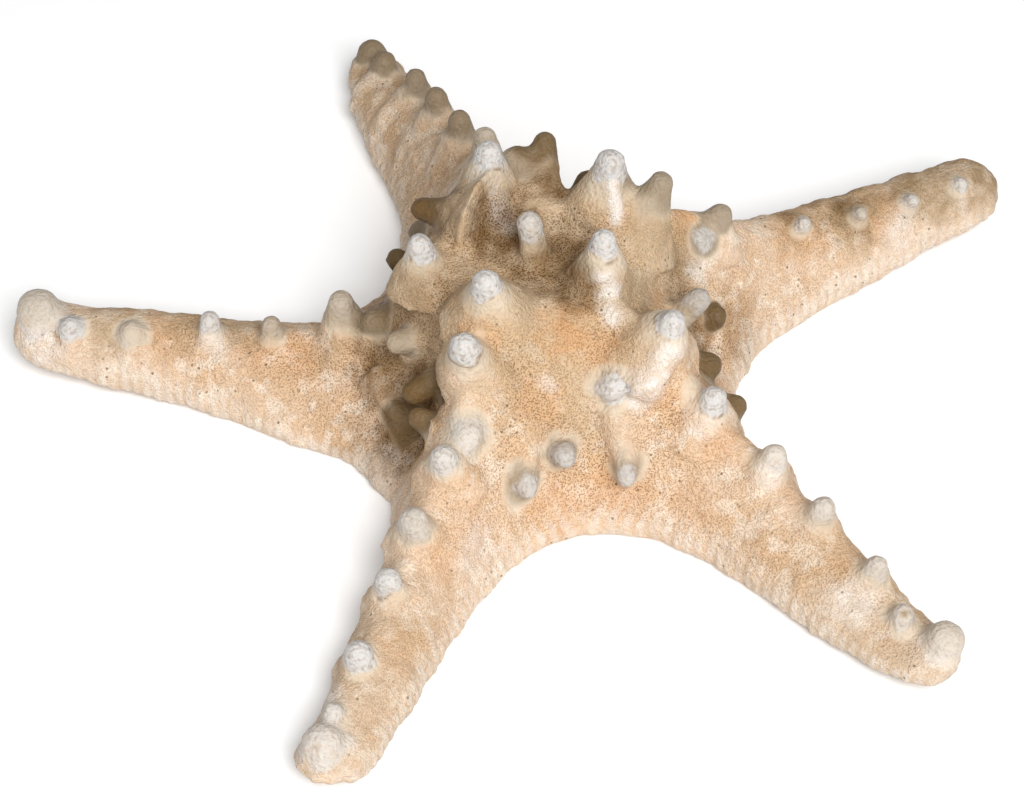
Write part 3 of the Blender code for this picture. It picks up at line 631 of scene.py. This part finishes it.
# The maze of pores darkens it, most in the hollows as painted shade, and leaves stems and chalk
# clear
bare = eased(stem_mask, 0.15, 0.60, 1.0, 0.0)
depth = worked("ADD", hollow_shade_mask, worked("MULTIPLY", broad, 2.6))
depth = worked("ADD", eased(depth, 0.2, 2.6, 0.19, 1.0), worked("MULTIPLY", brown_and_shade_mask, 0.3))
depth = worked("MULTIPLY", depth, eased(pale_mask, 0.2, 0.8, 1.0, 0.4))
depth = worked("MULTIPLY", depth, bare)
pores = worked("MULTIPLY", eased(maze, 0.34, 0.50, 1.0, 0.0), depth)
lit_pebbles = worked("MULTIPLY", eased(pebbles, 0.50, 0.66, 0.0, 0.5), bare)
pinholes = worked("MULTIPLY", eased(dots.outputs["Distance"], 0.08, 0.20, 1.0, 0.0), bare)
dark_pinholes = worked("MULTIPLY", pinholes, eased(mottle, 0.45, 0.60, 0.0, 0.8))
porous = laid(worked("MULTIPLY", pores, 0.85), stained_skin, PORE_SHADE, "MULTIPLY")
porous = laid(lit_pebbles, porous, PEBBLE_LIGHT, "MULTIPLY")
porous = laid(dark_pinholes, porous, PINHOLE_BROWN)

# The stems, clear or dark by their own tone and painted shade, and the pitted chalk on their tips
# with a crack at its rim
# Dark stems: the stem's own olive tone together with painted shade
clear = laid(eased(shade_mask, 0.0, 0.8), CLEAR_STEM, DARK_STEM)
# Stems in the brown spots darken too, by stain and by painted shade alike
clear = laid(worked("MULTIPLY", brown_and_shade_mask, 0.6), clear, STAINED_AND_SHADED_STEM)
over = worked("ADD", eased(stem_mask, 0.10, 0.85, 0.0, 0.75), worked("MULTIPLY", shade_mask, 0.2))
stemmed = laid(over, porous, clear)
chalk_pitting = eased(cloud(CHALK_SCALE, 2.0, 0.7), 0.34, 0.50, 0.7, 0.0)
pitted_chalk = laid(chalk_pitting, CHALK_WHITE, CHALK_PITS)
capped = laid(eased(cap_mask, 0.10, 0.85, 0.0, 0.9), stemmed, pitted_chalk)
crack = worked("MULTIPLY", rim_mask, eased(cloud(CRACK_SCALE, 2.0, 1.3), 0.50, 0.58, 0.0, 0.7))
capped = laid(crack, capped, CRACK_BROWN)
fed(shader.inputs["Base Color"], capped)

# Matt skin and chalk, glossier stems, a little light let through, and fine grit
fed(shader.inputs["Roughness"], eased(stem_mask, 0.2, 0.8, 0.72, 0.48))
shader.inputs["Specular IOR Level"].default_value = 0.15
shader.inputs["Subsurface Weight"].default_value = 0.1
shader.inputs["Subsurface Radius"].default_value = (1.0, 0.5, 0.25)
shader.inputs["Subsurface Scale"].default_value = 0.0012
grit = worked("MULTIPLY", eased(maze, 0.34, 0.56), worked("MULTIPLY", bare, 0.6))
grit = worked("ADD", grit, worked("MULTIPLY", pebbles, 2.5))
grit = worked("SUBTRACT", grit, worked("MULTIPLY", pinholes, 0.6))
bump = tree.nodes.new("ShaderNodeBump")
fed(bump.inputs["Strength"], 0.75)
fed(bump.inputs["Distance"], 0.0002)
fed(bump.inputs["Height"], grit)
fed(shader.inputs["Normal"], bump.outputs[0])
skin_mesh.materials.clear()
skin_mesh.materials.append(material)


# Studio. A plain white table, one broad soft light from the front and a little to the right, and
# even white light from all round.
TABLE_HALF, TABLE_BELOW = 2.0, 0.0001
TABLE_WHITE, TABLE_ROUGHNESS = (0.97, 0.97, 0.97, 1), 0.9
SOFTBOX_SIDE, SOFTBOX_POWER = 0.55, 14.5
SOFTBOX_PLACE = (0.2, -0.72, 0.82)
ROOM_WHITE, ROOM_LIGHT = (1.0, 1.0, 1.0, 1), 0.38
bm = bmesh.new()
bmesh.ops.create_grid(bm, x_segments=1, y_segments=1, size=TABLE_HALF)
bmesh.ops.translate(bm, verts=bm.verts, vec=(0.0, 0.0, -TABLE_BELOW))
floor_mesh = bpy.data.meshes.new("table_top")
bm.to_mesh(floor_mesh)
bm.free()
floor = bpy.data.objects.new("table_top", floor_mesh)
bpy.context.scene.collection.objects.link(floor)
white = bpy.data.materials.new("white_table")
white.use_nodes = True
white_shader = white.node_tree.nodes["Principled BSDF"]
white_shader.inputs["Base Color"].default_value = TABLE_WHITE
white_shader.inputs["Roughness"].default_value = TABLE_ROUGHNESS
floor_mesh.materials.append(white)

softbox = bpy.data.lights.new("softbox", "AREA")
softbox.shape = "SQUARE"
softbox.size = SOFTBOX_SIDE
softbox.energy = SOFTBOX_POWER
lamp = bpy.data.objects.new("softbox", softbox)
lamp.location = SOFTBOX_PLACE
lamp.rotation_euler = (-lamp.location).to_track_quat("-Z", "Y").to_euler()
bpy.context.scene.collection.objects.link(lamp)
world = bpy.data.worlds.new("studio")
world.use_nodes = True
world.node_tree.nodes["Background"].inputs[0].default_value = ROOM_WHITE
world.node_tree.nodes["Background"].inputs[1].default_value = ROOM_LIGHT
bpy.context.scene.world = world
bpy.context.scene.view_settings.view_transform = "Standard"
